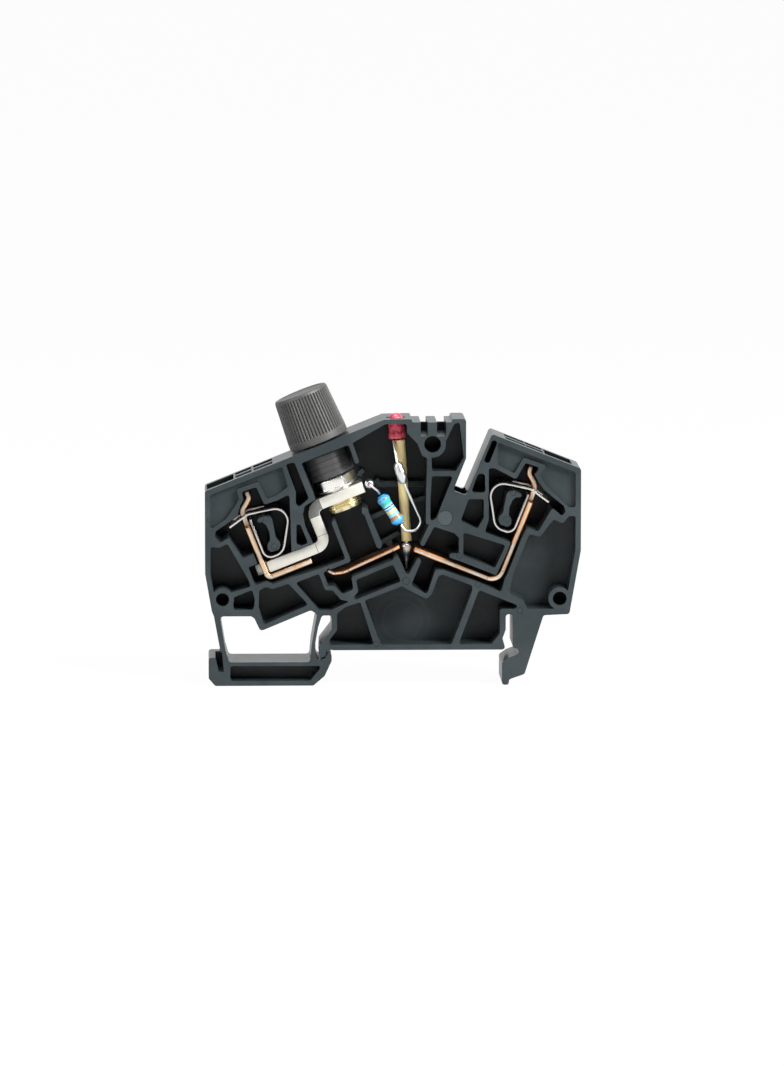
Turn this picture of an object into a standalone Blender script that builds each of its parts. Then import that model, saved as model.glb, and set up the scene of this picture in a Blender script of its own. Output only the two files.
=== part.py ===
"""Fuse terminal block for a 35 mm rail, seen on its open side.

Lengths below are millimetres. X runs along the rail section, Z points up and the open side faces -Y.
"""
import math

import bmesh
import bpy
from mathutils import Matrix, Vector

MM = 0.001
GAP = 0.3

# Housing
FRONT_Y = -6.0
BACK_Y = 6.0
BACK_WALL = 1.5
FLOOR_Y = BACK_Y - BACK_WALL
RIB = 0.8
WALL = 1.0
CORNER = 0.4
ARC_STEP = math.radians(40)
STRIP_ARC_STEP = math.radians(15)
TILT = math.radians(21.7)
LEFT_CORNER = Vector((-34.8, 36.3))
RIGHT_CORNER = Vector((34.8, 40.3))

# Clamps: distances across from the bar's middle and down from the tower's top
LEFT_BAR_U = 4.75
RIGHT_BAR_U = 6.2
BAR_THICK = 1.0
LEFT_BAR_BEND = 0.9
RIGHT_BAR_BEND = 2.2
BAR_HALF_WIDTH = 4.0
HEAD_HALF_WIDTH = 2.5
HEAD_END_V = 9.3
HEAD_PATH = [(2.25, 3.2), (2.2, 4.6), (0.1, 6.3)]
SPRING_THICK = 0.4
SPRING_BEND = 2.4
SPRING_NEAR_Y = -4.7
SPRING_FAR_Y = FLOOR_Y - GAP
SPRING_LEG = BAR_THICK / 2 + GAP + SPRING_THICK / 2

# Fuse socket and cap
FUSE_U = 23.0
BUSBAR_THICK = 2.1
BUSBAR_HALF_WIDTH = 3.75
BUSBAR_BEND = 1.8
BUSBAR_LOW_V = 17.75
BUSBAR_PLATE_V = 10.4
BUSBAR_LEG_U = 17.05
BUSBAR_END_U = 27.5
TONGUE_HALF_WIDTH = 2.0
LEFT_LEG_V = BUSBAR_LOW_V + BUSBAR_THICK / 2 + GAP + BAR_THICK / 2 + 0.05
TOP_WALL_V = 1.8
BARREL_RADIUS = FLOOR_Y - GAP
PLUG_RADIUS = 3.2
PLUG_BORE = 2.8
SOCKET_BORE = PLUG_RADIUS + GAP
HEX_TOP_V = 6.85
HEX_ACROSS_FLATS = 7.2
HEX_TURN = math.radians(-11)
SHANK_RADIUS = 3.1
SHANK_BORE = 2.7
SHANK_END_V = 13.3
CAP_RADIUS = 5.65
CAP_TOP_RADIUS = 5.1
CAP_HEIGHT = 9.7
CAP_COLLAR = 1.5
FLUTES = 54
FLUTE_DEPTH = 0.25
FLUTE_RUNOUT = 0.3
ROUND_STEPS = 36

# Lamp circuit
LEAD_RADIUS = 0.25
LEAD_BORE = LEAD_RADIUS + 0.12
LAMP_RADIUS = 1.5
FRONT_LEAD_Y = -3.2
REAR_LEAD_Y = -0.5
LAMP_Y = -1.6
JOINT_RADIUS = 1.0
SPLICE_RADIUS = 1.0
PLATE_JOINT_RADIUS = 0.9

OUTLINE = [
    (-34.8, 36.3), (-1.7, 49.5), (3.5, 49.6), (3.5, 49.0), (10.9, 49.0), (10.9, 49.6), (13.5, 49.6),
    (13.5, 42.3), (11.1, 36.3), (13.5, 35.4), (18.3, 46.8), (34.8, 40.3), (34.8, 25.1), (32.7, 13.2),
    (27.9, 13.0), (24.4, 2.0), (21.5, 1.0), (21.5, 0.0), (20.2, 0.0), (20.2, 4.2), (21.5, 5.1), (23.3, 5.8),
    (23.3, 6.8), (22.2, 6.8), (22.2, 13.2), (20.9, 13.2), (20.9, 10.3), (20.3, 8.7), (20.9, 6.6),
    (-11.0, 6.6), (-12.4, 6.8), (-12.6, 5.5), (-13.7, 5.0), (-13.6, 7.6), (-11.4, 10.5), (-11.4, 13.1),
    (-13.2, 13.1), (-13.9, 10.9), (-14.4, 8.1), (-14.4, 5.9), (-13.9, 4.6), (-12.6, 5.1), (-12.2, 5.9),
    (-11.4, 5.9), (-11.4, 4.6), (-12.7, 1.8), (-14.8, 0.0), (-33.0, 0.0), (-34.2, 1.4), (-34.2, 5.3),
    (-31.8, 5.3), (-33.2, 13.0), (-33.6, 14.0), (-34.8, 20.9),
]
FOOT_OPENING = [
    (-32.1, 13.0), (-26.3, 13.0), (-25.7, 12.6), (-24.6, 10.2), (-15.2, 14.1), (-14.1, 13.3), (-15.1, 7.7),
    (-15.4, 4.4), (-30.4, 4.4), (-31.1, 6.8),
]
CHAMBER = [
    (-17.5, 41.7), (-8.0, 45.4), (-6.6, 41.4), (-8.0, 45.4), (-1.5, 49.1), (2.9, 49.1), (3.0, 47.2),
    (4.8, 45.3), (5.7, 43.1), (6.7, 42.6), (6.5, 34.6), (6.5, 30.5), (7.4, 30.7), (5.3, 26.1), (7.4, 30.1),
    (11.6, 28.7), (12.6, 27.6), (12.6, 24.2), (10.5, 24.2), (12.6, 23.5), (18.9, 21.0), (21.4, 26.3),
    (16.5, 28.3), (17.3, 30.9), (17.3, 40.9), (19.0, 40.8), (22.6, 38.9), (24.3, 41.9), (27.8, 40.7),
    (26.6, 39.0), (28.3, 36.6), (32.0, 33.6), (32.4, 32.2), (31.3, 30.9), (29.6, 32.4), (27.1, 28.1),
    (25.0, 28.8), (21.8, 22.2), (20.3, 16.8), (15.5, 18.9), (9.2, 21.1), (8.1, 21.1), (6.8, 17.2),
    (6.1, 16.6), (2.8, 18.5), (4.9, 23.5), (2.6, 19.4), (0.6, 23.9), (0.3, 23.1), (-7.3, 20.0),
    (-6.9, 17.7), (-9.5, 16.6), (-11.0, 18.2), (-12.3, 18.2), (-13.5, 21.4), (-8.3, 23.4), (-11.1, 30.7),
    (-8.3, 23.4), (-13.5, 21.4), (-19.3, 19.6), (-22.4, 18.5), (-23.5, 19.0), (-25.8, 18.3), (-26.5, 20.1),
    (-27.4, 22.4), (-25.3, 23.1), (-25.8, 24.2), (-28.0, 23.3), (-30.5, 27.1), (-32.2, 26.2), (-33.4, 27.7),
    (-33.2, 29.1), (-30.6, 30.9), (-28.6, 32.4), (-28.8, 33.5), (-28.1, 34.8), (-28.5, 36.4), (-25.1, 37.6),
    (-23.6, 34.3), (-21.5, 35.0), (-18.8, 36.4), (-18.4, 25.0), (-14.9, 25.7), (-16.6, 29.4), (-17.1, 32.0),
    (-16.7, 33.8), (-14.8, 34.9),
]
FUSE_RIB = [
    (-5.8, 33.1), (-4.6, 33.1), (-4.6, 32.4), (-2.0, 26.3), (-2.3, 25.5), (-3.0, 25.7), (-5.3, 31.8), (-5.8, 32.1),
]
CLAMP_POST = [
    (2.2, 8.45), (3.8, 8.45), (4.7, 8.9), (4.85, 9.6), (4.2, 12.9), (4.55, 13.8), (4.5, 14.5), (3.9, 15.15),
    (2.4, 15.05), (2.0, 14.3), (2.4, 13.4), (3.05, 13.0), (3.5, 11.5), (3.45, 10.1), (3.0, 9.3), (2.2, 9.1),
]
POCKETS = {
    "panel_left": (1.0, [
        (-34.8, 36.3), (-20.4, 42.0), (-19.0, 37.0), (-21.5, 35.1), (-23.6, 34.3), (-25.1, 37.6),
        (-28.5, 36.4), (-28.1, 34.8), (-28.8, 33.5), (-30.6, 30.9), (-33.2, 29.1), (-34.8, 29.1),
    ]),
    "slot_left_high": (10.0, [(-20.4, 41.6), (-18.0, 42.1), (-15.1, 34.8), (-17.4, 32.8), (-18.4, 33.7),
                              (-18.4, 36.1)]),
    "slot_left_low": (10.0, [(-18.3, 30.5), (-16.9, 30.5), (-15.2, 26.4), (-16.9, 25.7), (-18.3, 26.1)]),
    "side_left": (7.5, [
        (-34.8, 26.5), (-32.2, 26.2), (-30.5, 27.1), (-26.5, 20.1), (-25.8, 18.3), (-30.0, 17.0),
        (-34.8, 17.0), (-34.8, 20.9),
    ]),
    "over_foot_small": (7.5, [(-30.0, 16.8), (-25.8, 18.5), (-25.2, 16.1), (-25.5, 13.8), (-30.0, 13.8)]),
    "over_foot_wide": (7.5, [
        (-25.2, 18.1), (-23.5, 18.9), (-22.4, 18.5), (-19.3, 19.5), (-15.0, 15.0), (-24.2, 10.8),
        (-25.3, 14.6),
    ]),
    "over_hook": (7.5, [
        (-18.8, 19.4), (-13.5, 21.4), (-12.3, 18.2), (-11.0, 18.2), (-9.5, 16.4), (-8.0, 16.1),
        (-8.0, 15.3), (-11.4, 13.7), (-13.9, 13.7),
    ]),
    "under_strip": (7.5, [(-7.3, 20.0), (0.2, 23.1), (2.0, 19.2), (-7.1, 15.5), (-7.9, 16.4), (-6.9, 17.7)]),
    "rail_left": (7.6, [
        (-10.8, 13.6), (-9.1, 15.0), (-5.8, 16.1), (-2.8, 6.6), (-12.2, 6.6), (-12.2, 8.7), (-10.8, 10.5),
    ]),
    "rail_middle": (7.6, [
        (-5.8, 16.1), (1.8, 19.0), (2.6, 18.4), (6.1, 16.6), (6.8, 17.2), (8.1, 20.7), (9.2, 21.1),
        (15.0, 18.9), (15.1, 17.6), (10.9, 6.6), (-2.4, 6.6),
    ]),
    "rail_right": (7.6, [
        (15.7, 18.3), (23.1, 15.3), (23.6, 14.6), (22.8, 13.8), (20.2, 13.8), (20.2, 9.4), (17.9, 6.6),
        (11.3, 6.6),
    ]),
    "side_right": (6.5, [
        (25.0, 28.6), (27.1, 28.1), (29.6, 31.4), (31.3, 30.6), (32.4, 31.9), (34.8, 31.9), (34.8, 25.1),
        (32.7, 13.2), (24.8, 13.2), (23.9, 15.5), (21.1, 17.0), (21.8, 20.7),
    ]),
    "pier_high": (8.0, [(11.0, 49.0), (12.6, 49.6), (13.5, 42.3), (11.8, 39.5), (6.8, 39.5), (6.7, 42.6),
                        (9.4, 45.7)]),
    "pier_low": (9.0, [(6.8, 39.4), (11.7, 39.4), (8.3, 30.9), (6.5, 29.8), (6.5, 34.6)]),
    "panel_right": (1.0, [
        (18.9, 46.5), (34.8, 40.3), (34.8, 32.7), (32.4, 32.7), (28.3, 36.6), (26.6, 39.0), (27.8, 40.7),
        (24.3, 41.9), (22.6, 38.9), (19.0, 40.8),
    ]),
    "beside_notch_low": (7.0, [(13.7, 35.1), (17.2, 35.1), (17.2, 31.1), (15.8, 28.7), (12.0, 30.4)]),
    "under_notch": (7.0, [(12.6, 29.1), (21.4, 26.3), (19.1, 21.3), (12.6, 23.9)]),
}
# Behind the rim at the bottom of the notch, and the narrow slot beside it
NOTCH_RECESS = [(11.0, 36.9), (13.9, 35.8), (13.2, 34.2), (10.4, 35.2)]
NOTCH_RIM = 1.2
NOTCH_SLOT = [(15.7, 39.4), (17.0, 39.4), (17.1, 35.9), (14.4, 35.9)]
NOTCH_SLOT_DEPTH = 10.0
# Low ribs that stand on the chamber's floor, as middle lines
FLOOR_RIBS = [
    [(-6.1, 38.3), (-5.9, 38.9), (-5.3, 39.4)],
    [(-2.9, 37.7), (-2.4, 36.7), (-1.4, 36.55), (0.2, 36.8)],
    [(-3.9, 30.5), (-1.0, 31.8)],
    [(-1.9, 25.9), (1.3, 27.7)],
    [(3.7, 33.5), (6.8, 34.4)],
]
FLOOR_RIB_TOP_Y = 1.0
FOOT_POCKET = [(-30.2, 3.7), (-13.1, 3.7), (-15.4, 0.9), (-30.2, 0.9)]
FOOT_POCKET_DEPTH = 5.0
FOOT_NOTCH = [(-33.2, 6.3), (-32.3, 2.6), (-31.4, 2.6), (-31.7, 6.3)]
FOOT_NOTCH_DEPTH = 9.0
PIN_HOLES = [((-31.6, 16.1), 1.24, 2.1), ((30.9, 16.1), 1.3, 2.1), ((7.3, 44.9), 1.56, 2.45)]
PIN_HOLE_DEPTH = 9.0
FUNNEL_HALF_WIDTH = 4.2
BRIDGE_SLOTS = [(5.1, 6.4), (8.1, 9.8)]
BRIDGE_FLOOR_Z = 46.4
BRIDGE_TOP_Z = 49.0
BRIDGE_BACK = 1.0
MARKER_SLOT = [(16.2, 1.0), (17.3, 1.0), (17.3, 5.4), (16.2, 5.4)]
STRIP_PATH = [(-12.1, 21.2), (-11.0, 20.6), (-9.3, 20.8), (-8.2, 21.2), (-0.1, 24.9), (1.25, 25.55)]
STRIP_THICK = 0.7
STRIP_BEND = 1.0
STRIP_HALF_WIDTH = 3.5


def left(u, v):
    """A point from distances along the left tower's top and down from it."""
    return LEFT_CORNER + Vector((u * math.cos(TILT) + v * math.sin(TILT), u * math.sin(TILT) - v * math.cos(TILT)))


def right(u, v):
    """The same on the right tower, measured inwards from its corner."""
    return RIGHT_CORNER + Vector((-u * math.cos(TILT) - v * math.sin(TILT), u * math.sin(TILT) - v * math.cos(TILT)))


def rounded(points, radius, closed=True, arc_step=ARC_STEP):
    """Turns each corner into an arc, smaller where the sides are short."""
    points = [Vector(point) for point in points]
    found = []
    for index, corner in enumerate(points):
        if not closed and index in (0, len(points) - 1):
            found.append(corner)
            continue
        back = points[index - 1] - corner
        ahead = points[(index + 1) % len(points)] - corner
        turn = math.pi - back.angle(ahead)
        if turn < math.radians(8):
            found.append(corner)
            continue
        reach = min(radius * math.tan(turn / 2), 0.45 * back.length, 0.45 * ahead.length)
        start = corner + back.normalized() * reach
        end = corner + ahead.normalized() * reach
        middle = (back.normalized() + ahead.normalized()).normalized()
        centre = corner + middle * (reach / math.tan(turn / 2) / math.cos(turn / 2))
        steps = max(2, math.ceil(turn / arc_step))
        for step in range(steps + 1):
            part = step / steps
            first = math.sin((1 - part) * turn) / math.sin(turn)
            last = math.sin(part * turn) / math.sin(turn)
            found.append(centre + (start - centre) * first + (end - centre) * last)
    return found


def along_outline(point):
    """Whether a point lies on the housing's outer edge."""
    corners = [Vector(corner) for corner in OUTLINE]
    for start, end in zip(corners, corners[1:] + corners[:1]):
        side = end - start
        part = min(1, max(0, (point - start).dot(side) / side.length_squared))
        if (start + side * part - point).length < 0.25:
            return True
    return False


def inset(points):
    """Moves a pocket's sides in from the rib middles by half a rib, or from the outer edge by a wall."""
    points = [Vector(point) for point in points]
    ahead = points[1:] + points[:1]
    area = sum(start.cross(end) for start, end in zip(points, ahead))
    sides = []
    for start, end in zip(points, ahead):
        along = (end - start).normalized()
        inwards = Vector((-along.y, along.x)) * math.copysign(1, area)
        sides.append((along, inwards * (WALL if along_outline((start + end) / 2) else RIB / 2)))
    found = []
    for corner, (before, shift), (after, next_shift) in zip(points, sides[-1:] + sides[:-1], sides):
        sine = before.cross(after)
        if before.dot(after) < -0.7:
            found += [corner + shift, corner + next_shift]
        elif abs(sine) < 0.1:
            found.append(corner + max(shift, next_shift, key=lambda move: move.length))
        else:
            found.append(corner + shift + before * ((next_shift - shift).cross(after) / sine))
    return found


def strip(path, thick, radius, spare=0):
    """The outline of a flat strip bent along a path, with some spare room all round for its seat."""
    bent = rounded(path, radius, closed=False, arc_step=STRIP_ARC_STEP)
    bent[0] += (bent[0] - bent[1]).normalized() * spare
    bent[-1] += (bent[-1] - bent[-2]).normalized() * spare
    thick += 2 * spare
    sides = [[], []]
    for index, point in enumerate(bent):
        back = (point - bent[index - 1]).normalized() if index else None
        ahead = (bent[index + 1] - point).normalized() if index + 1 < len(bent) else back
        back = back or ahead
        along = (back + ahead).normalized()
        across = Vector((-along.y, along.x)) * (thick / 2 / along.dot(back))
        sides[0].append(point + across)
        sides[1].append(point - across)
    return sides[0] + sides[1][::-1]


def box(frame, u0, u1, v0, v1):
    return [frame(u0, v0), frame(u1, v0), frame(u1, v1), frame(u0, v1)]


def circle(centre, radius, steps=ROUND_STEPS):
    angles = [2 * math.pi * step / steps for step in range(steps)]
    return [Vector(centre) + Vector((math.cos(angle), math.sin(angle))) * radius for angle in angles]


def collection(name, shown=True):
    made = bpy.data.collections.new(name)
    bpy.context.scene.collection.children.link(made)
    made.hide_render = not shown
    return made


def material(name, colour, metallic, roughness):
    made = bpy.data.materials.new(name)
    made.use_nodes = True
    shader = made.node_tree.nodes["Principled BSDF"]
    shader.inputs["Base Color"].default_value = (*colour, 1)
    shader.inputs["Metallic"].default_value = metallic
    shader.inputs["Roughness"].default_value = roughness
    return made


def finish(made, group, surface):
    """Puts an object in its collection, as a shown piece or as a cutter."""
    group.objects.link(made)
    if surface:
        made.data.materials.append(surface)
    else:
        made.hide_render = True
        made.display_type = "WIRE"
    return made


def plate(name, loops, near_y, far_y, group, surface=None):
    """A flat shape in the X-Z plane, with any inner loops as holes, thick from near_y to far_y."""
    curve = bpy.data.curves.new(name, "CURVE")
    curve.dimensions = "2D"
    curve.fill_mode = "BOTH"
    curve.extrude = (far_y - near_y) / 2
    for loop in loops:
        spline = curve.splines.new("POLY")
        spline.points.add(len(loop) - 1)
        for spot, point in zip(spline.points, loop):
            spot.co = (point[0], point[1], 0, 1)
        spline.use_cyclic_u = True
    drawn = bpy.data.objects.new(name, curve)
    bpy.context.scene.collection.objects.link(drawn)
    drawn.rotation_euler = (math.pi / 2, 0, 0)
    drawn.location = (0, (near_y + far_y) / 2 * MM, 0)
    drawn.scale = (MM, MM, MM)
    bpy.context.view_layer.update()
    mesh = bpy.data.meshes.new_from_object(drawn.evaluated_get(bpy.context.evaluated_depsgraph_get()))
    shape = bmesh.new()
    shape.from_mesh(mesh)
    bmesh.ops.remove_doubles(shape, verts=shape.verts, dist=0.0001)
    bmesh.ops.recalc_face_normals(shape, faces=shape.faces)
    shape.to_mesh(mesh)
    shape.free()
    mesh.name = name
    matrix = drawn.matrix_world.copy()
    bpy.data.objects.remove(drawn)
    bpy.data.curves.remove(curve)
    made = bpy.data.objects.new(name, mesh)
    made.matrix_world = matrix
    return finish(made, group, surface)


def turned(name, profile, origin, axis, group, surface=None, steps=ROUND_STEPS, ring=False, start=0):
    """A round piece from (radius, height) points that run from top to bottom on the outside."""
    count = len(profile)
    edges = [(index, index + 1) for index in range(count - 1)] + ([(count - 1, 0)] if ring else [])
    mesh = bpy.data.meshes.new(name)
    mesh.from_pydata([(radius * MM, 0, height * MM) for radius, height in profile], edges, [])
    made = bpy.data.objects.new(name, mesh)
    made.matrix_world = Matrix.Translation(Vector(origin) * MM) @ Vector(axis).to_track_quat("Z", "Y").to_matrix().to_4x4()
    made.matrix_world = made.matrix_world @ Matrix.Rotation(start, 4, "Z")
    screw = made.modifiers.new("Turn", "SCREW")
    screw.steps = steps
    screw.render_steps = steps
    screw.use_merge_vertices = True
    screw.merge_threshold = 0.00001
    screw.use_smooth_shade = steps > 6
    return finish(made, group, surface)


def wire(name, path, radius, bend, group, surface):
    """A round wire bent along a path."""
    curve = bpy.data.curves.new(name, "CURVE")
    curve.dimensions = "3D"
    curve.bevel_depth = radius * MM
    curve.bevel_resolution = 2
    curve.use_fill_caps = True
    spline = curve.splines.new("POLY")
    bent = rounded(path, bend, closed=False, arc_step=STRIP_ARC_STEP)
    spline.points.add(len(bent) - 1)
    for spot, point in zip(spline.points, bent):
        spot.co = (*(point * MM), 1)
        spot.radius = 1
    spline.use_smooth = True
    return finish(bpy.data.objects.new(name, curve), group, surface)


def flute(knob, count, depth, foot, top):
    """Moves every second line of a knob's side in, between two heights, so that V grooves run up it."""
    bpy.context.view_layer.update()
    mesh = bpy.data.meshes.new_from_object(knob.evaluated_get(bpy.context.evaluated_depsgraph_get()))
    knob.modifiers.clear()
    knob.data = mesh
    for vertex in mesh.vertices:
        spot = vertex.co
        if foot * MM < spot.z < top * MM and spot.xy.length > CAP_TOP_RADIUS * MM:
            step = round(math.atan2(spot.y, spot.x) / (math.pi / count))
            if step % 2:
                spot.xy = spot.xy * (1 - depth * MM / spot.xy.length)
    for face in mesh.polygons:
        if foot * MM < face.center.z < top * MM and face.center.xy.length > (CAP_TOP_RADIUS - depth) * MM:
            face.use_smooth = False


def boolean(made, operation, other):
    change = made.modifiers.new(operation.title(), "BOOLEAN")
    change.operation = operation
    change.solver = "EXACT"
    if isinstance(other, bpy.types.Collection):
        change.operand_type = "COLLECTION"
        change.collection = other
    else:
        change.object = other


for existing in list(bpy.data.objects):
    bpy.data.objects.remove(existing)

parts = collection("fuse_terminal_block")
pockets = collection("pocket_cutters", shown=False)
raised = collection("raised_details", shown=False)
bores = collection("bore_cutters", shown=False)
tools = collection("piece_cutters", shown=False)

black_plastic = material("black_polyamide", (0.018, 0.019, 0.021), 0, 0.5)
cap_plastic = material("black_cap_plastic", (0.012, 0.012, 0.013), 0, 0.3)
tinned_copper = material("tinned_copper", (0.78, 0.72, 0.66), 1, 0.3)
spring_steel = material("spring_steel", (0.62, 0.62, 0.6), 1, 0.3)
nickel = material("nickel_plate", (0.7, 0.69, 0.66), 1, 0.25)
bare_copper = material("bare_copper", (0.75, 0.42, 0.25), 1, 0.35)
solder = material("solder", (0.72, 0.72, 0.73), 1, 0.4)
sleeve_plastic = material("sleeve_plastic", (0.42, 0.33, 0.14), 0, 0.45)
resistor_coat = material("resistor_coat", (0.03, 0.3, 0.55), 0, 0.35)
lamp_plastic = material("lamp_plastic", (0.7, 0.08, 0.06), 0, 0.15)

fuse_axis = Vector((-math.sin(TILT), 0, math.cos(TILT)))
fuse_point = left(FUSE_U, 0)
fuse_origin = (fuse_point.x, 0, fuse_point.y)
lamp_axis = Vector((-0.085, 0, 1)).normalized()
lamp_origin = (0.9, LAMP_Y, 45.7)

# The strips, as bent paths in the section plane
left_bar_path = [left(LEFT_BAR_U + across, down) for across, down in HEAD_PATH]
left_bar_path += [left(LEFT_BAR_U, HEAD_END_V), left(LEFT_BAR_U, LEFT_LEG_V), left(13.5, LEFT_LEG_V)]
right_bar_path = [right(RIGHT_BAR_U + across, down) for across, down in HEAD_PATH]
right_bar_path += [right(RIGHT_BAR_U, HEAD_END_V), right(RIGHT_BAR_U, 25.5), right(23.0, 25.5)]
spring_path = [
    (-3.1, 8.1), (0.9, 7.05), (9.0, 8.45), (4.4, 16.1), (SPRING_LEG, 16.1), (SPRING_LEG, 8.15),
]
spring_window = [(-2.2, 7.86), (0.9, 7.05), (4.1, 7.6)]
busbar_path = [
    left(3.2, BUSBAR_LOW_V), left(BUSBAR_LEG_U, BUSBAR_LOW_V), left(BUSBAR_LEG_U, BUSBAR_PLATE_V),
    left(BUSBAR_END_U, BUSBAR_PLATE_V),
]
clamps = (
    (left, LEFT_BAR_U, left_bar_path, LEFT_BAR_BEND, "left"),
    (right, RIGHT_BAR_U, right_bar_path, RIGHT_BAR_BEND, "right"),
)

# Housing
housing = plate(
    "housing", [rounded(OUTLINE, 0.5), rounded(FOOT_OPENING, 0.6)], FRONT_Y, BACK_Y, parts, black_plastic
)
chamber_islands = [rounded(FUSE_RIB, CORNER)]
for frame, bar_u, path, bend, side in clamps:
    chamber_islands.append(rounded([frame(bar_u + across, down) for across, down in CLAMP_POST], CORNER))
plate("chamber", [rounded(inset(CHAMBER), CORNER)] + chamber_islands, FRONT_Y - 1, FLOOR_Y, pockets)
for name, (depth, loop) in POCKETS.items():
    plate(name, [rounded(inset(loop), CORNER)], FRONT_Y - 1, FRONT_Y + depth, pockets)
plate("foot_pocket", [rounded(FOOT_POCKET, CORNER)], FRONT_Y - 1, FRONT_Y + FOOT_POCKET_DEPTH, pockets)
plate("foot_notch", [FOOT_NOTCH], FRONT_Y - 1, FRONT_Y + FOOT_NOTCH_DEPTH, pockets)
plate("notch_slot", [rounded(NOTCH_SLOT, 0.5)], FRONT_Y - 1, FRONT_Y + NOTCH_SLOT_DEPTH, pockets)
marker_slot = [right(across, down) for across, down in MARKER_SLOT]
plate("marker_slot", [rounded(marker_slot, 0.5)], FRONT_Y - 1, FRONT_Y + 10, pockets)

for centre, hole, boss in PIN_HOLES:
    plate("pin_boss", [circle(centre, boss)], FRONT_Y, FLOOR_Y + GAP, raised)
    plate("pin_hole", [circle(centre, hole, 24)], FRONT_Y - 1, FRONT_Y + PIN_HOLE_DEPTH, bores)
plate("wire_ledge", [[(-2.9, 36.1), (6.7, 36.1), (6.7, 37.3), (-2.9, 37.3)]], 2.2, FLOOR_Y + GAP, raised)

for path in FLOOR_RIBS:
    plate("floor_rib", [strip(path, RIB, 0.5)], FLOOR_RIB_TOP_Y, FLOOR_Y + GAP, raised)
plate("notch_recess", [NOTCH_RECESS], FRONT_Y + NOTCH_RIM, FLOOR_Y, bores)

for start, end in BRIDGE_SLOTS:
    slot = [(start, BRIDGE_FLOOR_Z), (end, BRIDGE_FLOOR_Z), (end, 51), (start, 51)]
    plate("bridge_slot", [slot], FRONT_Y - 1, BACK_Y - BRIDGE_BACK, bores)
    lip = [(start, BRIDGE_TOP_Z - 1), (end, BRIDGE_TOP_Z - 1), (end, 51), (start, 51)]
    plate("bridge_lip", [lip], 0, BACK_Y + 1, bores)
lamp_hole = LAMP_RADIUS + GAP
turned("lamp_hole", [(0, 6), (lamp_hole, 6), (lamp_hole, 1), (0, 1)], lamp_origin, lamp_axis, bores)
turned("cap_hole", [(0, 1), (SOCKET_BORE, 1), (SOCKET_BORE, -3), (0, -3)], fuse_origin, fuse_axis, bores)

for frame, bar_u, mouth, cells in (
    (left, LEFT_BAR_U, (0.36, 5.72), ((6.12, 9.31, 1.7), (9.71, 13.5, 3.5))),
    (right, RIGHT_BAR_U, (1.69, 7.09), ((7.41, 10.82, 1.5), (10.99, 14.9, 3.5))),
):
    outer = bar_u - BAR_THICK / 2 - GAP
    funnel = [frame(mouth[0], -1), frame(mouth[1], -1), frame(mouth[1], 0), frame(outer, 6.5), frame(outer, 8.5),
              frame(outer - 2.4, 8.5), frame(outer - 2.4, 6.5), frame(mouth[0], 2.6)]
    plate("wire_funnel", [funnel], -FUNNEL_HALF_WIDTH, FUNNEL_HALF_WIDTH, bores)
    for start, end, depth in cells:
        for near_y, far_y in ((-4.0, -0.6), (1.2, 4.5)):
            plate("top_cell", [rounded(box(frame, start, end, -1, depth), 0.3)], near_y, far_y, bores)

# Seats that keep every strip clear of the housing
for frame, bar_u, path, bend, side in clamps:
    spring = [frame(bar_u + across, down) for across, down in spring_path]
    plate("bar_seat", [strip(path, BAR_THICK, bend, GAP)], FRONT_Y - 1, FLOOR_Y, bores)
    for part in (spring[:5], spring[3:]):
        plate("spring_seat", [strip(part, SPRING_THICK, SPRING_BEND, GAP)], FRONT_Y - 1, FLOOR_Y, bores)
plate("busbar_seat", [strip(busbar_path, BUSBAR_THICK, BUSBAR_BEND, GAP)], FRONT_Y - 1, FLOOR_Y, bores)
plate("strip_seat", [strip(STRIP_PATH, STRIP_THICK, STRIP_BEND, GAP)], FRONT_Y - 1, FLOOR_Y, bores)

boolean(housing, "DIFFERENCE", pockets)
boolean(housing, "UNION", raised)
boolean(housing, "DIFFERENCE", bores)

# Clamps
for frame, bar_u, path, bend, side in clamps:
    bar = plate(
        side + "_current_bar", [strip(path, BAR_THICK, bend)], -BAR_HALF_WIDTH, BAR_HALF_WIDTH, parts, tinned_copper
    )
    beside = box(frame, bar_u - 3, bar_u + 5, 1, HEAD_END_V)
    boolean(bar, "DIFFERENCE", plate(side + "_head_near", [beside], -BAR_HALF_WIDTH - 1, -HEAD_HALF_WIDTH, tools))
    boolean(bar, "DIFFERENCE", plate(side + "_head_far", [beside], HEAD_HALF_WIDTH, BAR_HALF_WIDTH + 1, tools))
    if side == "left":
        reach = BUSBAR_THICK / 2 + GAP
        window = box(left, bar_u - 1.2, bar_u + 1.2, BUSBAR_LOW_V - reach, BUSBAR_LOW_V + reach)
        open_half = TONGUE_HALF_WIDTH + GAP
        boolean(bar, "DIFFERENCE", plate("tongue_window", [window], -open_half, open_half, tools))
    spring = [frame(bar_u + across, down) for across, down in spring_path]
    cage = plate(
        side + "_clamp_spring", [strip(spring, SPRING_THICK, SPRING_BEND)], SPRING_NEAR_Y, SPRING_FAR_Y, parts, spring_steel
    )
    opening = [frame(bar_u + across, down) for across, down in spring_window]
    open_half = HEAD_HALF_WIDTH + GAP
    cutter = plate(side + "_spring_window", [strip(opening, SPRING_THICK + GAP, SPRING_BEND)], -open_half, open_half, tools)
    boolean(cage, "DIFFERENCE", cutter)

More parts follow.
